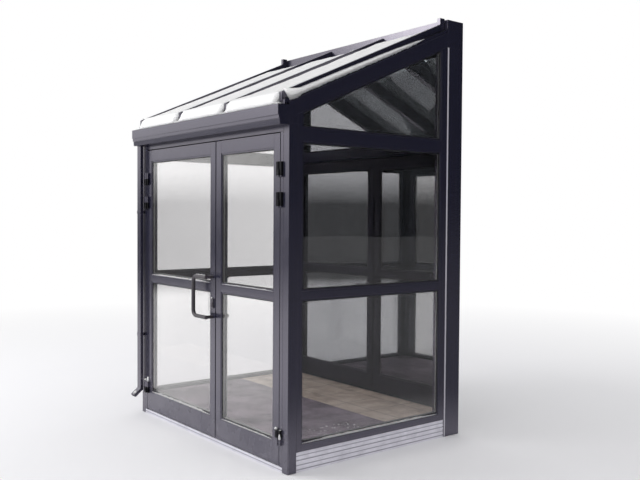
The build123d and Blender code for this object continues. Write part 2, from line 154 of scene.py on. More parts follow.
def grey(value):
    """A neutral colour."""
    return (value, value, value)


def start_material(name, colour, roughness, **inputs):
    """A material with one Principled shader, and its node tree."""
    material = bpy.data.materials.new(name)
    material.use_nodes = True
    tree = material.node_tree
    shader = tree.nodes["Principled BSDF"]
    feed(tree, shader.inputs["Base Color"], colour)
    feed(tree, shader.inputs["Roughness"], roughness)
    for key, value in inputs.items():
        feed(tree, shader.inputs[key.replace("_", " ")], value)
    return material, tree, shader


def object_place(tree):
    """The place on the object, in metres."""
    return put(tree, "ShaderNodeTexCoord").outputs["Object"]


def split(tree, vector):
    """The X, Y and Z of a vector, by name."""
    return put(tree, "ShaderNodeSeparateXYZ", {0: vector}).outputs


def upward_facing(tree):
    """The Z of the surface's direction: 1 where it faces the sky."""
    return split(tree, put(tree, "ShaderNodeNewGeometry").outputs["Normal"])["Z"]


def noise_value(tree, place, scale, detail=3.0, roughness=0.5):
    """Noise from 0 to 1 with about this many cells a metre."""
    inputs = {"Vector": place, "Scale": scale, "Detail": detail, "Roughness": roughness}
    return put(tree, "ShaderNodeTexNoise", inputs).outputs["Fac"]


def remap(tree, value, low, high, to_low=0.0, to_high=1.0):
    """A value brought from one range to another and held there."""
    inputs = {"Value": value, "From Min": low, "From Max": high,
              "To Min": to_low, "To Max": to_high}
    return put(tree, "ShaderNodeMapRange", inputs).outputs["Result"]


def calculate(tree, operation, first, second):
    """One sum on two numbers."""
    return put(tree, "ShaderNodeMath", {0: first, 1: second}, operation=operation).outputs[0]


def product(tree, first, *others):
    """Numbers multiplied with each other."""
    for other in others:
        first = calculate(tree, "MULTIPLY", first, other)
    return first


def blend_colour(tree, share, first, second):
    """A mix of two colours."""
    node = put(tree, "ShaderNodeMix", data_type="RGBA")
    feed(tree, node.inputs["Factor"], share)
    feed(tree, node.inputs[6], first)
    feed(tree, node.inputs[7], second)
    return node.outputs[2]


def blend_base(tree, shader, share, first, second):
    """Feeds a mix of two colours to the shader's base colour."""
    feed(tree, shader.inputs["Base Color"], blend_colour(tree, share, first, second))


def stretch(tree, place, scale):
    """The place with each direction scaled."""
    return put(tree, "ShaderNodeMapping", {"Vector": place, "Scale": scale}).outputs["Vector"]


def roughen(tree, shader, height, strength, distance):
    """Bump from a height."""
    inputs = {"Height": height, "Strength": strength, "Distance": distance}
    feed(tree, shader.inputs["Normal"], put(tree, "ShaderNodeBump", inputs).outputs["Normal"])


# Materials. facade_depth is where the frames of the inner doors begin, and the two hinge measures
# are the middle and half the height of one knuckle, from the hinge's own middle
coat_index = 2.15
coat_tint = (0.93, 0.87, 1.0)
dust_colour = (0.33, 0.32, 0.34)
splash_heights = (0.34, 0.10)
facade_depth = 0.60
satin = 0.24
# The matt roughness and sheen level darken the coat at the facade, a painted shade
matt = 0.44
full_level = 0.5
matt_level = 0.08
hinge_half = 0.0238
hinge_half_reach = 0.0242
rib_scale = 10.5
tile_pitch = 0.30


def start_coat(name, colour, roughness=satin, level=full_level):
    """Satin powder coat: faint orange peel, cloudy tone, dust low down and on upward faces."""
    material, tree, shader = start_material(name, colour, roughness, IOR=coat_index,
                                            Specular_IOR_Level=level, Specular_Tint=coat_tint)
    place = object_place(tree)
    along = split(tree, place)
    darker, lighter = [tuple(c * share for c in colour) for share in (0.90, 1.10)]
    coat = blend_colour(tree, noise_value(tree, place, 3.5), darker, lighter)
    splash = remap(tree, along["Z"], *splash_heights, 0.0, 0.16)
    speckle = remap(tree, noise_value(tree, place, 7.0, 4.0, 0.6), 0.35, 0.70, 0.3, 1.0)
    outside = calculate(tree, "LESS_THAN", along["Y"], front_y + 0.01)
    settled = remap(tree, noise_value(tree, place, 90.0, 5.0, 0.65), 0.25, 0.75, 0.10, 0.34)
    upward = product(tree, remap(tree, upward_facing(tree), 0.6, 1.0), settled)
    dust = calculate(tree, "MAXIMUM", product(tree, splash, speckle, outside), upward)
    blend_base(tree, shader, dust, coat, dust_colour)
    wear = noise_value(tree, place, 11.0)
    rough = remap(tree, wear, 0.3, 0.7, roughness - 0.015, roughness + 0.025)
    feed(tree, shader.inputs["Roughness"], calculate(tree, "ADD", rough, product(tree, dust, 0.4)))
    roughen(tree, shader, noise_value(tree, place, 520.0, 2.0), 0.06, 0.0003)
    return material, tree, shader


def powder_coat(*settings):
    """The powder coat as it is."""
    return start_coat(*settings)[0]


def frame_coat_shaded_behind(name, colour):
    """Powder coat for frames of both pairs of doors: satin in front, matt as painted shade at the
    facade.
    """
    material, tree, shader = start_coat(name, colour)
    # Painted shade: behind the facade depth the coat is rougher and has little sheen, to darken the
    # back of the vestibule
    behind = calculate(tree, "GREATER_THAN", split(tree, object_place(tree))["Y"], facade_depth)
    level = remap(tree, behind, 0.0, 1.0, full_level, matt_level)
    rougher = product(tree, behind, matt - satin)
    rough = calculate(tree, "ADD", source(shader, "Roughness"), rougher)
    feed(tree, shader.inputs["Specular IOR Level"], level)
    feed(tree, shader.inputs["Roughness"], rough)
    return material


def hinge_coat_shade_painted(name, colour, levels, shade_from):
    """Powder coat on hinges, with painted shade on the half that carries the leaf's knuckle.

    Beyond a given distance from the middle, that half is coloured very dark and loses its sheen,
    for the shade there. It is the upper one on the right and the lower one on the left.
    """
    material, tree, shader = start_coat(name, colour)
    along = split(tree, object_place(tree))
    half = product(tree, calculate(tree, "SIGN", along["X"], 0.0), hinge_half)
    level = calculate(tree, "SUBTRACT", along["Z"], half)
    painted_shade = 0.0
    for centre in levels:
        inputs = {0: level, 1: centre, 2: hinge_half_reach}
        near = put(tree, "ShaderNodeMath", inputs, operation="COMPARE").outputs[0]
        painted_shade = calculate(tree, "MAXIMUM", near, painted_shade)
    from_middle = calculate(tree, "ABSOLUTE", along["X"], 0.0)
    # Painted shade: very dark and without sheen on the knuckle's half, beyond the given distance
    painted_shade = product(tree, painted_shade, calculate(tree, "GREATER_THAN", from_middle, shade_from))
    blend_base(tree, shader, painted_shade, source(shader, "Base Color"), (0.004, 0.004, 0.005))
    level = remap(tree, painted_shade, 0.0, 1.0, full_level, 0.05)
    feed(tree, shader.inputs["Specular IOR Level"], level)
    return material


def sealed_coat(name, colour, joint):
    """Powder coat with a pale line of sealant on the outer faces along the joint, two depths."""
    material, tree, shader = start_coat(name, colour)
    place = object_place(tree)
    along = split(tree, place)
    from_middle = calculate(tree, "ABSOLUTE", along["X"], 0.0)
    outer = calculate(tree, "GREATER_THAN", from_middle, side_x - 0.0008)
    ragged = remap(tree, noise_value(tree, place, 30.0), 0.0, 1.0, -0.002, 0.002)
    edge = calculate(tree, "ADD", along["Y"], ragged)
    past_start = calculate(tree, "GREATER_THAN", edge, joint[0])
    before_end = calculate(tree, "LESS_THAN", edge, joint[1])
    line = product(tree, outer, past_start, before_end)
    blend_base(tree, shader, line, source(shader, "Base Color"), (0.40, 0.39, 0.43))
    feed(tree, shader.inputs["Roughness"], remap(tree, line, 0.0, 1.0, satin, 0.7))
    return material


def ribbed_aluminium(name):
    """Weathered light aluminium with level ribs, stains, and grooves between the ribs darkened as
    painted shade.
    """
    material, tree, shader = start_material(name, (0.80, 0.79, 0.86), 0.5)
    place = object_place(tree)
    bands = {"Vector": place, "Scale": rib_scale}
    wave = put(tree, "ShaderNodeTexWave", bands, bands_direction="Z").outputs["Fac"]
    shaded_groove = remap(tree, wave, 0.80, 0.98)
    drawn = noise_value(tree, stretch(tree, place, (2.0, 2.0, 90.0)), 1.0)
    stain = remap(tree, noise_value(tree, place, 9.0, 5.0, 0.65), 0.45, 0.75)
    clean = blend_colour(tree, drawn, (0.60, 0.59, 0.66), (0.76, 0.75, 0.82))
    # The stains are dirt; the darkening in the grooves is painted shade
    stain_and_groove_shade = calculate(tree, "MAXIMUM", product(tree, stain, 0.35), product(tree, shaded_groove, 0.85))
    blend_base(tree, shader, stain_and_groove_shade, clean, (0.22, 0.21, 0.25))
    feed(tree, shader.inputs["Roughness"], remap(tree, drawn, 0.0, 1.0, 0.40, 0.62))
    roughen(tree, shader, shaded_groove, 0.5, -0.0015)
    return material


def glass(name, tint, shade, index=1.5):
    """Float glass with a faint waviness. Lamps reach what is behind it, through its own tint."""
    material, tree, shader = start_material(name, tint, 0.0, Transmission_Weight=1.0, IOR=index)
    place = object_place(tree)
    film = remap(tree, noise_value(tree, place, 7.0, 4.0, 0.6), 0.50, 0.8, 0.0, 0.006)
    feed(tree, shader.inputs["Roughness"], film)
    roughen(tree, shader, noise_value(tree, place, 2.2, 0.0), 0.05, 0.01)
    clear = put(tree, "ShaderNodeBsdfTransparent", {"Color": shade})
    path = put(tree, "ShaderNodeLightPath")
    mix = put(tree, "ShaderNodeMixShader", {0: path.outputs["Is Shadow Ray"]})
    feed(tree, mix.inputs[1], shader.outputs["BSDF"])
    feed(tree, mix.inputs[2], clear.outputs["BSDF"])
    feed(tree, tree.nodes["Material Output"].inputs["Surface"], mix.outputs["Shader"])
    return material


def rubber(name):
    """Black sealing rubber, slightly dusty."""
    material, tree, shader = start_material(name, (0.014, 0.014, 0.016), 0.62)
    place = object_place(tree)
    dust = remap(tree, noise_value(tree, place, 40.0, 4.0), 0.4, 0.8, 0.0, 0.35)
    blend_base(tree, shader, dust, (0.012, 0.012, 0.014), grey(0.05))
    roughen(tree, shader, noise_value(tree, place, 700.0), 0.2, 0.0003)
    return material


def coated_tube(name):
    """Dark dull tube, unevenly polished by hands."""
    material, tree, shader = start_material(name, (0.04, 0.036, 0.042), 0.38)
    place = object_place(tree)
    touch = noise_value(tree, place, 14.0, 4.0)
    blend_base(tree, shader, touch, (0.032, 0.028, 0.034), (0.056, 0.050, 0.059))
    feed(tree, shader.inputs["Roughness"], remap(tree, touch, 0.3, 0.7, 0.32, 0.46))
    roughen(tree, shader, noise_value(tree, place, 600.0), 0.08, 0.0003)
    return material


def concrete(name):
    """Cast concrete, fine pores and cloudy stains."""
    material, tree, shader = start_material(name, (0.40, 0.39, 0.37), 0.85)
    place = object_place(tree)
    cloud = noise_value(tree, place, 5.0, 6.0, 0.6)
    blend_base(tree, shader, cloud, (0.30, 0.29, 0.28), (0.47, 0.46, 0.43))
    roughen(tree, shader, noise_value(tree, place, 140.0, 4.0), 0.4, 0.001)
    return material


def floor_tile(name):
    """Beige tiles with grout joints and the dirt that wet shoes leave."""
    material, tree, shader = start_material(name, (0.42, 0.37, 0.30), 0.55)
    place = object_place(tree)
    inputs = {"Vector": place, "Color1": (0.70, 0.575, 0.480), "Color2": (0.76, 0.63, 0.525),
              "Mortar": (0.20, 0.18, 0.16), "Scale": 1.0, "Mortar Size": 0.0035,
              "Mortar Smooth": 0.2, "Brick Width": tile_pitch, "Row Height": tile_pitch}
    tiles = put(tree, "ShaderNodeTexBrick", inputs, offset=0.0, squash=1.0).outputs
    dirt = remap(tree, noise_value(tree, place, 6.0, 6.0, 0.68), 0.42, 0.68, 0.0, 0.75)
    blend_base(tree, shader, dirt, tiles["Color"], (0.37, 0.29, 0.235))
    feed(tree, shader.inputs["Roughness"], remap(tree, dirt, 0.0, 0.7, 0.38, 0.75))
    roughen(tree, shader, tiles["Fac"], 0.5, -0.002)
    return material


def ribbed_mat(name):
    """Grey purple entrance mat: carpet ribs across the way in, flattened and stained by use."""
    material, tree, shader = start_material(name, (0.17, 0.155, 0.175), 0.95)
    place = object_place(tree)
    bands = {"Vector": place, "Scale": 16.0, "Distortion": 0.3}
    ribs = put(tree, "ShaderNodeTexWave", bands, bands_direction="Y").outputs["Fac"]
    wear = remap(tree, noise_value(tree, place, 5.0, 5.0, 0.65), 0.35, 0.65)
    tone = blend_colour(tree, wear, (0.150, 0.108, 0.148), (0.380, 0.300, 0.372))
    blend_base(tree, shader, remap(tree, ribs, 0.0, 1.0, 0.0, 0.35), tone, grey(0.07))
    pile = calculate(tree, "ADD", ribs, noise_value(tree, place, 380.0))
    roughen(tree, shader, pile, 0.7, 0.003)
    return material


def settled_snow(name, top_light_tone):
    """Old snow: soft, slightly translucent, grainy, with a painted tone where it faces the sky, set
    for the light falling there.
    """
    material, tree, shader = start_material(name, (0.88, 0.88, 0.90), 0.75,
                                            Subsurface_Weight=0.9, Subsurface_Scale=0.08,
                                            Subsurface_Radius=(1.0, 1.0, 1.0))
    place = object_place(tree)
    cloud = noise_value(tree, place, 12.0, 4.0)
    clean = blend_colour(tree, cloud, (0.88, 0.88, 0.90), (0.95, 0.95, 0.96))
    top_painted_light = blend_colour(tree, cloud, grey(top_light_tone), grey(top_light_tone + 0.08))
    # Painted light and shade: faces toward the sky take the top tone, not the snow's own colour
    blend_base(tree, shader, remap(tree, upward_facing(tree), 0.45, 0.85), clean, top_painted_light)
    roughen(tree, shader, noise_value(tree, place, 160.0, 5.0, 0.7), 0.45, 0.003)
    return material


def spacer_metal(name):
    """Dull aluminium spacer between the sheets of the double glazing, with its drying holes."""
    material, tree, shader = start_material(name, (0.30, 0.30, 0.31), 0.5, Metallic=0.7)
    holes = remap(tree, noise_value(tree, object_place(tree), 260.0, 1.0), 0.62, 0.7)
    blend_base(tree, shader, holes, grey(0.34), grey(0.10))
    return material


coat_colour = (0.0095, 0.0100, 0.025)
# The facade coat's colour, a little darker and less blue than the coat, part of its painted shade
facade_shade_colour = (0.010, 0.010, 0.017)
wall_joint = (wall_post_box[0].y, wall_post_box[0].y + 0.014)
anthracite = powder_coat("anthracite_coat", coat_colour)
# A shaded copy of the coat for the facade: darker, matt and with little sheen, as painted shade
facade_coat_shaded = powder_coat("facade_coat", facade_shade_colour, matt, matt_level)
both_doors_shaded_behind = frame_coat_shaded_behind("frame_coat_shaded_behind", coat_colour)
sealed = sealed_coat("anthracite_sealed", coat_colour, wall_joint)
# Hinges with painted shade: on the right leaves from about the knuckle's axis outwards, on the frame
# and the left leaves across the whole half
hinge_finish_shade_painted = hinge_coat_shade_painted("hinge_coat_shade_painted", coat_colour, hinge_levels, 0.903)
hinge_finish_half_shade_painted = hinge_coat_shade_painted("hinge_coat_dark", coat_colour, hinge_levels, 0.5)
black_metal = powder_coat("black_coat", (0.010, 0.009, 0.012), 0.40)
aluminium = ribbed_aluminium("light_aluminium_drawn")
clear_glass = glass("clear_glass", (0.99, 0.985, 0.98), (0.97, 0.965, 0.96))
side_glass = glass("side_glass_grey", (0.94, 0.94, 0.95), (0.95, 0.95, 0.96))
sky_glass = glass("roof_glass_grey", (0.74, 0.77, 0.78), (0.90, 0.91, 0.92))
facade_glass = glass("facade_glass_tinted", (0.20, 0.21, 0.22), (0.50, 0.52, 0.54), 3.5)
seal = rubber("sealing_rubber")
tube = coated_tube("dark_tube")
slab = concrete("slab_concrete")
tile = floor_tile("beige_tile")
mat = ribbed_mat("mat_pile")
# Roof snow that faces the sky is painted grey, a painted shade that offsets the strong light from
# above; on the ledges the top tone is near the snow's own
snow = settled_snow("settled_snow", 0.55)
white_snow = settled_snow("ledge_snow", 0.90)
spacer = spacer_metal("spacer_bar")

own_finish = {
    "floor_slab": slab, "floor_tiles": tile, "entrance_mat": mat,
    "front_threshold": aluminium, "side_plinths": aluminium, "wall_posts": sealed,
    "lock_plates": black_metal, "pull_handles": tube, "lever_handles": tube,
    "frame_hinges": hinge_finish_half_shade_painted,
    "front_left_hinges": hinge_finish_half_shade_painted, "front_right_hinges": hinge_finish_shade_painted,
    "back_left_hinges": hinge_finish_half_shade_painted, "back_right_hinges": hinge_finish_shade_painted,
}


def finish_of(node_name):
    """A CAD node's own finish, or the coat of the frames at its place."""
    if node_name in own_finish:
        return own_finish[node_name]
    # Parts at the facade take the shaded copy of the coat, and door frames the coat that is shaded
    # behind the facade
    if node_name.startswith(("back_", "fanlight_")):
        return facade_coat_shaded
    return both_doors_shaded_behind if node_name.startswith("door_") else anthracite


# Edges of the profiles are broken as on extrusions; pieces with round faces keep their own mesh
edge_radius = {"corner_posts": 0.004, "gutter": 0.001, "gutter_end_caps": 0.001,
               "rafter_caps": 0.003, "entrance_mat": 0.002, "floor_tiles": 0.0005}
plain_edge = 0.0015
round_nodes = ("pull_handles", "lever_handles", "lock_plates")


def soften(piece, radius):
    """Breaks the sharp edges of a flat-sided piece with modifiers."""
    weld = piece.modifiers.new("weld", "WELD")
    weld.merge_threshold = 0.00002
    bevel = piece.modifiers.new("bevel", "BEVEL")
    bevel.width = radius
    bevel.segments = 2
    bevel.limit_method = "ANGLE"
    bevel.angle_limit = math.radians(30)
    bevel.harden_normals = False
    weighted = piece.modifiers.new("weighted", "WEIGHTED_NORMAL")
    weighted.keep_sharp = False


for node_name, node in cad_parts.items():
    node.material_slots[0].material = finish_of(node_name)
    if node_name not in round_nodes and not node_name.endswith("_glass"):
        soften(node, edge_radius.get(node_name, plain_edge))


# Mesh helpers
def make_piece(name, vertices, faces, material, body, slot=None, smooth=False):
    """A mesh piece with outward faces that rides on a body."""
    mesh = bpy.data.meshes.new(name)
    mesh.from_pydata([tuple(v) for v in vertices], [], faces)
    shape = bmesh.new()
    shape.from_mesh(mesh)
    bmesh.ops.recalc_face_normals(shape, faces=shape.faces)
    shape.to_mesh(mesh)
    shape.free()
    if smooth:
        mesh.shade_smooth()
    mesh.materials.append(material)
    piece = bpy.data.objects.new(name, mesh)
    bpy.context.scene.collection.objects.link(piece)
    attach(piece, body)
    return piece


def add_prism(vertices, faces, lower, upper):
    """Adds a closed prism between two matching outlines."""
    start, count = len(vertices), len(lower)
    vertices.extend(lower)
    vertices.extend(upper)
    faces.append(tuple(start + i for i in range(count)))
    faces.append(tuple(start + count + i for i in range(count)))
    for i in range(count):
        j = (i + 1) % count
        faces.append((start + i, start + j, start + count + j, start + count + i))


def add_ring(vertices, faces, outer, inner, rise):
    """Adds a closed ring between two outlines in a plane, thickened by the vector rise."""
    start, count = len(vertices), len(outer)
    vertices.extend(outer)
    vertices.extend(inner)
    vertices.extend([v + rise for v in outer])
    vertices.extend([v + rise for v in inner])
    for i in range(count):
        j = (i + 1) % count
        o, n, top_o, top_n = start, start + count, start + 2 * count, start + 3 * count
        faces.append((o + i, o + j, n + j, n + i))
        faces.append((top_o + i, top_o + j, top_n + j, top_n + i))
        faces.append((o + i, o + j, top_o + j, top_o + i))
        faces.append((n + i, n + j, top_n + j, top_n + i))


def band_faces(start, steps, around):
    """The faces of a tube of rings that follow each other, each of as many corners."""
    faces = []
    for a in range(start, start + steps * around, around):
        for i in range(around):
            j = (i + 1) % around
            faces.append((a + i, a + j, a + around + j, a + around + i))
    return faces


def closed_tube(steps, around):
    """The faces of a tube of steps + 1 rings, with both of its ends."""
    ends = [tuple(range(around)), tuple(steps * around + i for i in range(around))]
    return band_faces(0, steps, around) + ends


def merged(parts):
    """Joins several (vertices, faces) pairs into one."""
    vertices, faces = [], []
    for more, sides in parts:
        start = len(vertices)
        vertices.extend(more)
        faces.extend(tuple(start + i for i in side) for side in sides)
    return vertices, faces


def pane_faces(corners, axis):
    """The two faces of a four-sided pane as matching corner lists, low side first."""
    across, up = [i for i in (X, Y, Z) if i != axis]
    columns = {}
    for corner in corners:
        columns.setdefault((round(corner[across], 4), round(corner[up], 4)), []).append(corner)
    middle = [sum(key[i] for key in columns) / len(columns) for i in (0, 1)]
    ordered = sorted(columns, key=lambda k: math.atan2(k[1] - middle[1], k[0] - middle[0]))
    pairs = [sorted(columns[key], key=lambda corner: corner[axis]) for key in ordered]
    return [pair[0] for pair in pairs], [pair[-1] for pair in pairs]


def inset(outline, distance):
    """An outline in a plane drawn in by a distance from each of its sides."""
    moved = []
    for i, corner in enumerate(outline):
        ahead = (outline[(i + 1) % len(outline)] - corner).normalized()
        behind = (outline[i - 1] - corner).normalized()
        moved.append(corner + (ahead + behind) * (distance / ahead.cross(behind).length))
    return moved


# Double glazing
def glaze(node_name, axis, material, body, slot):
    """Replaces the panes of a CAD node by two sheets each, and adds their spacers and seals."""
    sheets, bars, seals = ([], []), ([], []), ([], [])
    for corners in islands(node_name):
        low, high = pane_faces(corners, axis)
        through = high[0] - low[0]
        for share in (0.0, 1.0 - sheet_share):
            near = [corner + through * share for corner in low]
            far = [corner + through * (share + sheet_share) for corner in low]
            add_prism(*sheets, near, far)
        cavity = [corner + through * sheet_share for corner in low]
        add_ring(*bars, inset(cavity, spacer_inset[0]), inset(cavity, spacer_inset[1]),
                 through * (1.0 - 2.0 * sheet_share))
        proud = through.normalized() * gasket_proud
        for face, rise in ((low, -proud), (high, proud)):
            add_ring(*seals, inset(face, gasket_inset[0]), inset(face, gasket_inset[1]), rise)
    panes = make_piece(f"{node_name}_sheets", *sheets, material, body, slot)
    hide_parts(node_name)
    make_piece(f"{node_name}_spacers", *bars, spacer, body)
    make_piece(f"{node_name}_seals", *seals, seal, body)


for leaf in leaf_names:
    behind = leaf.startswith("back")
    glaze(f"{leaf}_glass", Y, facade_glass if behind else clear_glass, f"{leaf}_leaf",
          "facade_glass" if behind else "glass")
glaze("fanlight_glass", Y, facade_glass, "frame", "facade_glass")
glaze("side_glass", X, side_glass, "frame", "glass")
glaze("roof_glass", Z, sky_glass, "frame", "roof_glass")

# Roof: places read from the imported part
roof_pairs = [pane_faces(corners, Z) for corners in islands("roof_glass")]
roof_panes = [pair[1] for pair in roof_pairs]
pane_drop = roof_pairs[0][1][0].z - roof_pairs[0][0][0].z
roof_front = min(roof_panes[0], key=lambda corner: corner.y)
roof_back = max(roof_panes[0], key=lambda corner: corner.y)
roof_slope = (roof_back.z - roof_front.z) / (roof_back.y - roof_front.y)
roof_edge = max(corner.x for pane in roof_panes for corner in pane)
cap_bars = sorted(islands("rafter_caps"), key=lambda bar: extent(bar, X)[0])
cap_limits = [extent(bar, X) for bar in cap_bars]
rim_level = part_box("gutter")[1].z


def roof_height(y):
    """Height of the upper face of the roof glass."""
    return roof_front.z + roof_slope * (y - roof_front.y)


cap_rise = max(c.z - roof_height(c.y) for c in cap_bars[0])

# Snow on the roof: how deep it lies along the roof, as (y, depth) pairs
snow_gap = 0.0006
snow_full = 0.053
even_foot = ((-0.79, 0.053), (-0.70, 0.030), (-0.11, 0.029), (0.09, 0.021), (0.29, 0.006),
             (0.37, 0.003))
worn_foot = ((-0.76, 0.053), (-0.69, 0.030), (-0.11, 0.023), (-0.02, 0.014), (0.08, 0.013),
             (0.27, 0.003))
ledge_depth = ((-0.80, 0.050), (-0.69, 0.028), (-0.28, 0.024), (-0.10, 0.020), (0.08, 0.016),
               (0.27, 0.009), (0.38, 0.003))

# Front of the snow beside a bar, from the gutter's rim to the top of the bar, as (y, lift) pairs
flush_nose = ((-0.868, 0.0), (-0.865, 0.006), (-0.852, 0.010), (-0.840, 0.012), (-0.831, 0.014),
              (-0.829, 0.028), (-0.828, 0.044), (-0.827, 0.060), (-0.825, 0.070),
              (-0.820, 0.051), (-0.800, 0.053))
open_nose = ((-0.868, 0.0), (-0.865, 0.006), (-0.845, 0.011), (-0.824, 0.012), (-0.823, 0.031),
             (-0.800, 0.003), (-0.774, 0.005), (-0.777, 0.020), (-0.790, 0.034),
             (-0.808, 0.047), (-0.800, 0.053))
roof_bays = (
    {"end": 0.370, "foot": even_foot, "nose": flush_nose, "worn": 0.0},
    {"end": 0.345, "foot": even_foot, "nose": open_nose, "worn": 0.0},
    {"end": 0.478, "foot": worn_foot, "nose": flush_nose, "worn": 0.19},
)
recess_width = 0.085
bed_rows = 120
bed_columns = 60
eave_reach = 0.072
strip_reach = (-0.772, 0.385)
strip_rows = 300
trim_clearance = 0.0022

# Mounds in front of the bars, and patches on them as (x, y, half width, half length, height)
bar_foot_y = -0.8485
bar_patches = (
    (0.978, 0.335, 0.011, 0.070, 0.007), (0.972, 0.455, 0.007, 0.022, 0.004),
    (-0.322, 0.150, 0.012, 0.062, 0.008), (-0.330, -0.070, 0.008, 0.020, 0.004),
    (-0.320, -0.180, 0.010, 0.055, 0.005), (0.330, 0.300, 0.008, 0.030, 0.004),
)


def ease(value, low, high):
    """0 below low, 1 above high, smooth between."""
    share = min(max((value - low) / (high - low), 0.0), 1.0)
    return share * share * (3.0 - 2.0 * share)


def lumps(x, y, scale, seed):
    """Smooth random value from about -1 to 1."""
    return noise.noise(Vector((x * scale, y * scale, seed)))


def between(table, value):
    """A value read from (place, value) pairs and held at both ends."""
    for (low, first), (high, second) in zip(table, table[1:]):
        if value < high:
            return first + (second - first) * max(value - low, 0.0) / (high - low)
    return table[-1][1]


def under_snow(y):
    """Height of what the roof snow lies on: the gutter's rim in front, then the roof glass."""
    return (rim_level if y < roof_front.y else roof_height(y)) + snow_gap


def bed_column(bay, left, x, seed):
    """The top of a bay's snow at x, from the gutter's rim up the roof, as (y, z) pairs."""
    beside = 1.0 - ease(x - left, 0.0, recess_width)
    top_y = bay["nose"][-1][0]
    column = []
    steps = len(bay["nose"]) - 1
    wave = 1.0 + 0.05 * lumps(x, 0.0, 9.0, seed) + 0.02 * lumps(x, 0.0, 34.0, seed)
    base = rim_level + snow_gap
    rise = roof_height(top_y) + snow_gap + snow_full - base
    for step, (y, lift) in enumerate(bay["nose"]):
        turn = 0.5 * math.pi * step / steps
        full_y = top_y - eave_reach * wave * math.cos(turn)
        full_z = base + rise * math.sin(turn)
        near_z = under_snow(y) + lift
        column.append((full_y + (y - full_y) * beside, full_z + (near_z - full_z) * beside))
    worn = bay["worn"] * (1.0 - ease(x - left, 0.015, 0.10))
    ragged = 0.022 * lumps(x, 0.0, 11.0, seed) + 0.008 * lumps(x, 0.0, 47.0, seed)
    end_y = bay["end"] - worn + ragged
    across = ease(x - left, 0.0, 0.16)
    for row in range(1, bed_rows + 1):
        y = top_y + (end_y - top_y) * row / bed_rows
        foot = between(bay["foot"], y)
        level = snow_full - 0.006 * ease(y, -0.75, -0.3)
        uneven = 0.0030 * lumps(x, y, 8.0, seed) + 0.0014 * lumps(x, y, 31.0, seed)
        depth = foot + (level - foot) * across + uneven * ease(y, -0.80, -0.74)
        short = 1.0 - min(max((end_y - y) / 0.07, 0.0), 1.0)
        depth = max(depth * math.sqrt(1.0 - short * short), 0.0008)
        column.append((y, roof_height(y) + snow_gap + depth))
    return column


def snow_bed(bay, left, right, seed):
    """A closed blanket of snow in one bay, which reaches over the gutter's rim."""
    vertices = []
    step_y = roof_front.y - trim_clearance
    for index in range(bed_columns + 1):
        x = left + (right - left) * (index / bed_columns) ** 1.5
        top = bed_column(bay, left, x, seed)
        end_y = top[-1][0]
        under = [(end_y, roof_height(end_y) + snow_gap), (step_y, roof_height(step_y) + snow_gap),
                 (step_y, rim_level + snow_gap)]
        loop = top + under
        vertices.extend(Vector((x, y, z)) for y, z in loop)
    return vertices, closed_tube(bed_columns, len(loop))


def snow_strip(side, seed):
    """A closed strip of snow outside an edge bar, hanging ragged over the edge of the glass."""
    vertices = []
    foot_x, edge_x = cap_limits[-1][1] + snow_gap, roof_edge + trim_clearance
    hang_x = side_x - 0.0004
    start_y, end_y = strip_reach
    for row in range(strip_rows + 1):
        y = start_y + (end_y - start_y) * row / strip_rows
        depth = between(ledge_depth, y) + 0.0016 * lumps(0.3, y, 26.0, seed)
        depth = max(depth * math.sqrt(min(max((end_y - y) / 0.04, 0.0), 1.0)), 0.001)
        hang = 0.0135 + 0.005 * lumps(0.0, y, 24.0, seed) + 0.006 * lumps(0.0, y, 70.0, seed)
        hang = max(hang + 0.005 * lumps(0.4, y, 150.0, seed), 0.004)
        hang += 0.014 * (1.0 - ease(y, -0.73, -0.68))
        hang *= 1.0 - 0.8 * ease(y, 0.25, 0.38)
        lean = 0.95 * (1.0 - ease(y, start_y, -0.70))
        swell = abs(0.0006 * lumps(0.7, y, 60.0, seed))
        section = ((foot_x, 0.0), (edge_x, 0.0), (edge_x, -hang * 0.9), (hang_x - 0.0008, -hang),
                   (hang_x - swell, -hang * 0.6), (hang_x, depth * 0.30),
                   (hang_x - 0.003, depth * 0.72), (hang_x - 0.010, depth * 0.95),
                   (hang_x - 0.019, depth), (foot_x, depth * 1.02))
        for x, lift in section:
            forward = lean * max(lift, 0.0) + (0.017 * lean if lift < 0.0 else 0.0)
            vertices.append(Vector((side * x, y - forward, roof_height(y) + snow_gap + lift)))
    return vertices, closed_tube(strip_rows, len(section))


def add_mound(vertices, faces, centre, reach, height, base, seed):
    """Adds a closed mound of snow. base gives the height of what it lies on at each (x, y)."""
    start, rings, around = len(vertices), 5, 28
    for ring in range(rings, 0, -1):
        share = ring / rings
        for i in range(around):
            turn = 2.0 * math.pi * i / around
            wave = 1.0 - 0.16 * abs(lumps(math.cos(turn), math.sin(turn), 1.7, seed))
            x = centre[0] + reach[0] * share * wave * math.cos(turn)
            y = centre[1] + reach[1] * share * wave * math.sin(turn)
            lift = height * math.sqrt(max(1.0 - share * share, 0.0)) + 0.0002
            vertices.append(Vector((x, y, base(x, y) + lift)))
    vertices.append(Vector((centre[0], centre[1], base(*centre) + height)))
    faces.extend(band_faces(start, rings - 1, around))
    last, peak = start + (rings - 1) * around, len(vertices) - 1
    faces.extend((last + i, last + (i + 1) % around, peak) for i in range(around))
    faces.append(tuple(start + i for i in range(around)))


def flat_base(level):
    """A level surface for a mound to lie on."""
    return lambda x, y: level


def cap_top(x, y):
    """Height of the top of the bars on the roof, for a mound to lie on."""
    return roof_height(y) + cap_rise


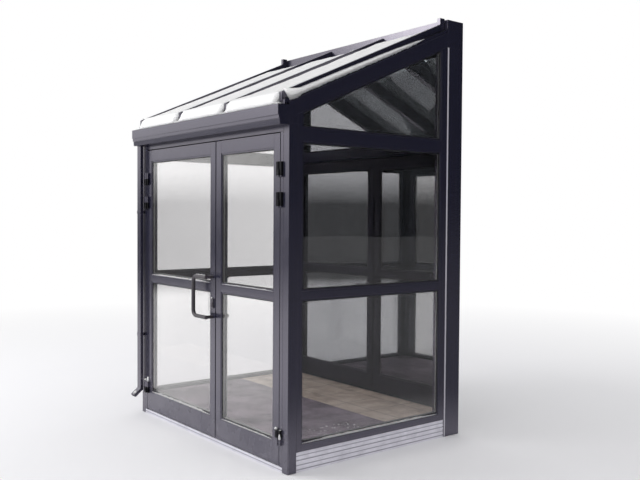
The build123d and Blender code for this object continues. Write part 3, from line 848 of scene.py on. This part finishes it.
def build_roof_snow():
    """The beds in the bays and the strips outside the edge bars."""
    parts = []
    for index, bay in enumerate(roof_bays):
        left, right = cap_limits[index][1] + snow_gap, cap_limits[index + 1][0] - snow_gap
        parts.append(snow_bed(bay, left, right, 10.0 * index + 3.0))
    parts.append(snow_strip(1.0, 5.0))
    parts.append(snow_strip(-1.0, 17.0))
    piece = make_piece("roof_snow_bed", *merged(parts), snow, "frame", "snow", smooth=True)
    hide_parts("roof_snow")


def build_loose_snow():
    """Snow on the gutter in front of each bar, and patches on top of the bars."""
    vertices, faces = [], []
    for index, limits in enumerate(cap_limits):
        centre = (sum(limits) / 2, bar_foot_y)
        add_mound(vertices, faces, centre, (0.034, 0.0225), 0.013, flat_base(rim_level), index)
    for x, y, half_x, half_y, height in bar_patches:
        add_mound(vertices, faces, (x, y), (half_x, half_y), height, cap_top, 40.0 * y)
    make_piece("roof_snow_patches", vertices, faces, snow, "frame", "snow", smooth=True)


build_roof_snow()
build_loose_snow()

# Snow on ledges, hinges and fittings. The bend is where the upper face of the downpipe's shoe
# starts, and handle_crumbs lie along the handle's upper arm as (x, half length, height)
ledge_step = 0.006
ledge_end = 0.012
low_pane_level = 0.5
low_hinge_level = 0.4
axis_half = 0.9045
handle_radius = 0.014
handle_crumbs = ((-0.022, 0.009, 0.003), (0.006, 0.013, 0.005), (0.031, 0.008, 0.003),
                 (0.055, 0.014, 0.0055), (0.083, 0.010, 0.004))
shoe_bend_y = front_y - 0.042
shoe_bend_z = 0.2007
shoe_slope = 0.81
crumb_count = 46


def ledge_snow(start, end, level, face, glass_face, height, seed, along_y=False):
    """A closed thin ridge of snow on the ledge between a profile's face and the glass."""
    vertices = []
    steps = max(int(abs(end - start) / ledge_step), 8)
    inward = 1.0 if glass_face > face else -1.0
    depth = abs(glass_face - face)
    for step in range(steps + 1):
        along = start + (end - start) * step / steps
        swell = 1.0 + 0.28 * lumps(along, 0.0, 22.0, seed) + 0.16 * lumps(along, 0.0, 75.0, seed)
        taper = min(1.0, 5.0 * step / steps + 0.25, 5.0 * (steps - step) / steps + 0.25)
        top = height * swell * taper
        section = ((0.0006, 0.0), (0.0004, top * 0.45), (0.0022, top * 0.85), (depth * 0.55, top),
                   (depth - 0.0004, top * 1.06), (depth - 0.0004, 0.0))
        for out, lift in section:
            across = face + inward * out
            place = (across, along) if along_y else (along, across)
            vertices.append(Vector((*place, level + lift)))
    return vertices, closed_tube(steps, len(section))


def build_ledge_snow():
    """Thin lines of snow at the foot of each outer pane of the doors and of the low side panes."""
    for leaf, heights in (("front_left", (0.0125, 0.0105)), ("front_right", (0.0085, 0.0060))):
        parts = []
        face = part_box(f"{leaf}_stiles")[0].y
        panes = sorted(islands(f"{leaf}_glass"), key=lambda pane: extent(pane, Z)[0])
        for index, pane in enumerate(panes):
            x0, x1 = extent(pane, X)
            parts.append(ledge_snow(x0 + ledge_end, x1 - ledge_end, extent(pane, Z)[0], face,
                                    extent(pane, Y)[0], heights[index], 7.0 * index + heights[0]))
        make_piece(f"{leaf}_ledge_snow", *merged(parts), white_snow, f"{leaf}_leaf", "snow",
                   smooth=True)
    parts = []
    for pane in islands("side_glass"):
        level = extent(pane, Z)[0]
        if level < low_pane_level:
            side = math.copysign(1.0, pane[0].x)
            y0, y1 = extent(pane, Y)
            glass_face = side * max(abs(c.x) for c in pane)
            parts.append(ledge_snow(y0 + ledge_end, y1 - ledge_end, level, side * side_x,
                                    glass_face, 0.0115, side, along_y=True))
    make_piece("side_ledge_snow", *merged(parts), white_snow, "frame", "snow", smooth=True)


def build_hinge_snow():
    """Snow on top of the lowest outer hinges, and a lump stuck to the right one at half height."""
    low_blocks = [block for block in hinge_blocks
                  if extent(block, Z)[1] < low_hinge_level and extent(block, Y)[1] < 0.0]
    top = extent(low_blocks[0], Z)[1]
    on_top = flat_base(top)
    face = front_y - 0.008
    vertices, faces = [], []
    add_mound(vertices, faces, (-0.950, face), (0.0135, 0.0090), 0.015, on_top, 3.0)
    add_mound(vertices, faces, (0.9535, front_y - 0.0155), (0.0125, 0.0055), 0.036,
              flat_base(top - 0.055), 9.0)
    add_mound(vertices, faces, (0.950, face), (0.0105, 0.0080), 0.005, on_top, 4.0)
    make_piece("frame_hinge_snow", vertices, faces, white_snow, "frame", "snow", smooth=True)
    for leaf, side, height in (("front_left", -1.0, 0.038), ("front_right", 1.0, 0.015)):
        vertices, faces = [], []
        add_mound(vertices, faces, (side * axis_half, face), (0.0140, 0.0095), height, on_top,
                  5.0 + side)
        make_piece(f"{leaf}_hinge_snow", vertices, faces, white_snow, f"{leaf}_leaf", "snow",
                   smooth=True)


def build_fitting_snow():
    """Snow on the upper arm of the outer pull handle, the lock plate and the downpipe's shoe."""
    handle, plate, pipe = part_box("pull_handles"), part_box("lock_plates"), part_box("downpipe")
    arm_y, arm_z = handle[0].y + handle_radius, handle[1].z - handle_radius

    def arm_top(x, y):
        return arm_z + math.sqrt(max(handle_radius ** 2 - (y - arm_y) ** 2, 0.0))

    def shoe_top(x, y):
        return shoe_bend_z + (y - shoe_bend_y) * shoe_slope

    vertices, faces = [], []
    for x, reach, height in handle_crumbs:
        add_mound(vertices, faces, (x, arm_y + 0.002), (reach, 0.0050), height, arm_top, 60.0 * x)
    add_mound(vertices, faces, (plate[0].x + 0.010, front_y - 0.005), (0.010, 0.0045), 0.011,
              flat_base(plate[1].z - 0.002), 8.0)
    make_piece("fitting_snow", vertices, faces, white_snow, "front_left_leaf", "snow", smooth=True)
    vertices, faces = [], []
    add_mound(vertices, faces, (pipe[1].x - 0.020, pipe[0].y + 0.019), (0.020, 0.0165), 0.010,
              shoe_top, 12.0)
    make_piece("shoe_snow", vertices, faces, white_snow, "frame", "snow", smooth=True)


def build_floor_crumbs():
    """Crumbs of snow carried in on the mat."""
    on_mat = flat_base(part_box("entrance_mat")[1].z)
    random_place = random.Random(5)
    vertices, faces = [], []
    for index in range(crumb_count):
        x = 0.74 + 0.20 * random_place.random()
        y = -0.42 + 0.34 * random_place.random()
        reach = 0.004 + 0.008 * random_place.random() ** 3
        add_mound(vertices, faces, (x, y), (reach, reach * 0.8), reach * 0.6, on_mat, float(index))
    make_piece("mat_crumbs", vertices, faces, snow, "frame", "snow", smooth=True)


build_ledge_snow()
build_hinge_snow()
build_fitting_snow()
build_floor_crumbs()

# Dark trims that cover the edges of the roof glass
trim_thickness = 0.0014
trim_gap = 0.0002
trim_end_gap = 0.0004
trim_overlap = 0.010


def build_roof_trims():
    """Thin cover strips on the outer edges and on the front edge of the roof glass."""
    vertices, faces = [], []
    y0, y1 = roof_front.y + trim_end_gap, roof_back.y - 0.001
    for side in (-1.0, 1.0):
        x0, x1 = side * (roof_edge + trim_gap), side * (roof_edge + trim_gap + trim_thickness)
        lower = [Vector((x0, y, roof_height(y) + lift)) for y, lift in
                 ((y0, -pane_drop), (y1, -pane_drop), (y1, 0.0), (y0, 0.0))]
        add_prism(vertices, faces, lower, [Vector((x1, v.y, v.z)) for v in lower])
    edges = [-roof_edge, *(edge for limits in cap_limits for edge in limits), roof_edge]
    z0, z1 = rim_level - trim_overlap, roof_front.z + trim_gap
    for left, right in zip(edges[::2], edges[1::2]):
        x0, x1 = left + trim_end_gap, right - trim_end_gap
        lower = [Vector((x, roof_front.y - trim_end_gap, z)) for x, z in
                 ((x0, z0), (x1, z0), (x1, z1), (x0, z1))]
        add_prism(vertices, faces, lower, [v - Vector((0.0, trim_thickness, 0.0)) for v in lower])
    make_piece("roof_glass_trims", vertices, faces, anthracite, "frame", "anthracite")


build_roof_trims()

# Rubber seals that close the meeting gap of each pair of leaves, with depths behind their faces
seal_depths = (0.009, 0.017)
seal_end_gap = 0.002
seal_gap = 0.0006
seal_slant = 0.002


def build_meeting_seals():
    """A seal on the meeting edge of each leaf, set a little behind its face."""
    for pair in ("front", "back"):
        left_stiles, right_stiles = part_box(f"{pair}_left_stiles"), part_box(f"{pair}_right_stiles")
        middle = (left_stiles[1].x + right_stiles[0].x) / 2
        z0, z1 = left_stiles[0].z + seal_end_gap, left_stiles[1].z - seal_end_gap
        y0, y1 = [left_stiles[0].y + depth for depth in seal_depths]
        for leaf, x0, x1 in ((f"{pair}_left", left_stiles[1].x, middle - seal_gap),
                             (f"{pair}_right", middle + seal_gap, right_stiles[0].x)):
            vertices, faces = [], []
            lower = [Vector((x, y, z0)) for x, y in
                     ((x0, y0), (x1, y0 + seal_slant), (x1, y1 - seal_slant), (x0, y1))]
            add_prism(vertices, faces, lower, [Vector((v.x, v.y, z1)) for v in lower])
            make_piece(f"{leaf}_meeting_seal", vertices, faces, seal, f"{leaf}_leaf")


build_meeting_seals()


# Floor, world, lamp and camera
def straight_view(tree, path):
    """1 for what the camera sees directly or through glass, 0 for what is mirrored or lights."""
    unmirrored = calculate(tree, "LESS_THAN", path["Glossy Depth"], 0.5)
    through = product(tree, path["Is Transmission Ray"], unmirrored)
    return calculate(tree, "MAXIMUM", path["Is Camera Ray"], through)


def toward_bright(tree, direction):
    """How far a direction points to the bright side, from -1 to 1."""
    inputs = {0: direction, 1: bright_side}
    return put(tree, "ShaderNodeVectorMath", inputs, operation="DOT_PRODUCT").outputs["Value"]


def build_floor():
    """A pale round floor that fades into the white background far from the object.

    Mirrors see it in plain tones: bright on the bright side, dark opposite, darker at the horizon.
    """
    mesh = bpy.data.meshes.new("studio_floor")
    turns = [2 * math.pi * i / floor_sides for i in range(floor_sides)]
    points = [(floor_radius * math.cos(turn), floor_radius * math.sin(turn), 0.0) for turn in turns]
    mesh.from_pydata(points, [], [tuple(range(floor_sides))])
    floor = bpy.data.objects.new("studio_floor", mesh)
    floor.location.z = -floor_drop
    bpy.context.scene.collection.objects.link(floor)
    material, tree, shader = start_material("pale_floor", (0.80, 0.80, 0.82), 0.9)
    place = object_place(tree)
    distance = put(tree, "ShaderNodeVectorMath", {0: place}, operation="LENGTH").outputs["Value"]
    outward = put(tree, "ShaderNodeVectorMath", {0: place}, operation="NORMALIZE").outputs["Vector"]
    path = put(tree, "ShaderNodeLightPath").outputs
    direct = straight_view(tree, path)
    indirect = calculate(tree, "SUBTRACT", 1.0, direct)
    plain = product(tree, direct, remap(tree, distance, *floor_fade))
    reflected = product(tree, path["Is Glossy Ray"], indirect, remap(tree, distance, *mirror_fade))
    near_tone = remap(tree, toward_bright(tree, outward), -0.7, 0.2, *mirrored_tones)
    mirrored = remap(tree, distance, *mirrored_floor, near_tone, horizon_level)
    tone = calculate(tree, "ADD", product(tree, mirrored, indirect), direct)
    white = put(tree, "ShaderNodeEmission", {"Color": tone, "Strength": 1.0})
    mix = put(tree, "ShaderNodeMixShader", {0: calculate(tree, "MAXIMUM", plain, reflected)})
    feed(tree, mix.inputs[1], shader.outputs["BSDF"])
    feed(tree, mix.inputs[2], white.outputs["Emission"])
    feed(tree, tree.nodes["Material Output"].inputs["Surface"], mix.outputs["Shader"])
    mesh.materials.append(material)


def build_world():
    """Soft light, brighter from the front left, with a plain white background."""
    world = bpy.data.worlds.new("studio")
    bpy.context.scene.world = world
    world.use_nodes = True
    tree = world.node_tree
    direction = put(tree, "ShaderNodeTexCoord").outputs["Generated"]
    side = remap(tree, toward_bright(tree, direction), -0.40, 0.80, *world_levels)
    up = split(tree, direction)["Z"]
    mirrored = product(tree, side, remap(tree, up, *horizon_band, horizon_level, 1.0))
    path = put(tree, "ShaderNodeLightPath").outputs
    lighting = calculate(tree, "MAXIMUM", mirrored, diffuse_floor)
    soft = blend_colour(tree, path["Is Glossy Ray"], lighting, mirrored)
    tone = blend_colour(tree, straight_view(tree, path), soft, grey(1.0))
    background = tree.nodes["Background"]
    feed(tree, background.inputs["Color"], tone)
    feed(tree, background.inputs["Strength"], 1.0)


def build_key():
    """One large soft lamp from the front left."""
    lamp = bpy.data.lights.new("key", "AREA")
    lamp.shape = "DISK"
    lamp.size = key_size
    lamp.energy = key_power
    holder = bpy.data.objects.new("key", lamp)
    holder.location = key_place
    holder.rotation_euler = (key_target - key_place).to_track_quat("-Z", "Y").to_euler()
    bpy.context.scene.collection.objects.link(holder)


def build_camera():
    """The camera of the photograph, from its place, its directions and its focal length."""
    camera = bpy.data.cameras.new("camera")
    camera.sensor_width = sensor_width
    camera.lens = sensor_width * focal_pixels / image_width
    ahead = Vector((-math.sin(camera_yaw) * math.cos(camera_pitch),
                    math.cos(camera_yaw) * math.cos(camera_pitch), math.sin(camera_pitch)))
    level = Vector((math.cos(camera_yaw), math.sin(camera_yaw), 0.0))
    right = level * math.cos(camera_roll) + level.cross(ahead) * math.sin(camera_roll)
    up = right.cross(ahead)
    holder = bpy.data.objects.new("camera", camera)
    turn = Matrix((right, up, -ahead)).transposed()
    holder.matrix_world = Matrix.Translation(camera_place) @ turn.to_4x4()
    bpy.context.scene.collection.objects.link(holder)
    bpy.context.scene.camera = holder


build_floor()
build_world()
build_key()
build_camera()
scene = bpy.context.scene
scene.view_settings.view_transform = "Standard"
scene.cycles.use_denoising = True
scene.cycles.denoising_input_passes = "RGB_ALBEDO"
scene.cycles.max_bounces = 20
scene.cycles.transmission_bounces = 20
scene.cycles.transparent_max_bounces = 32
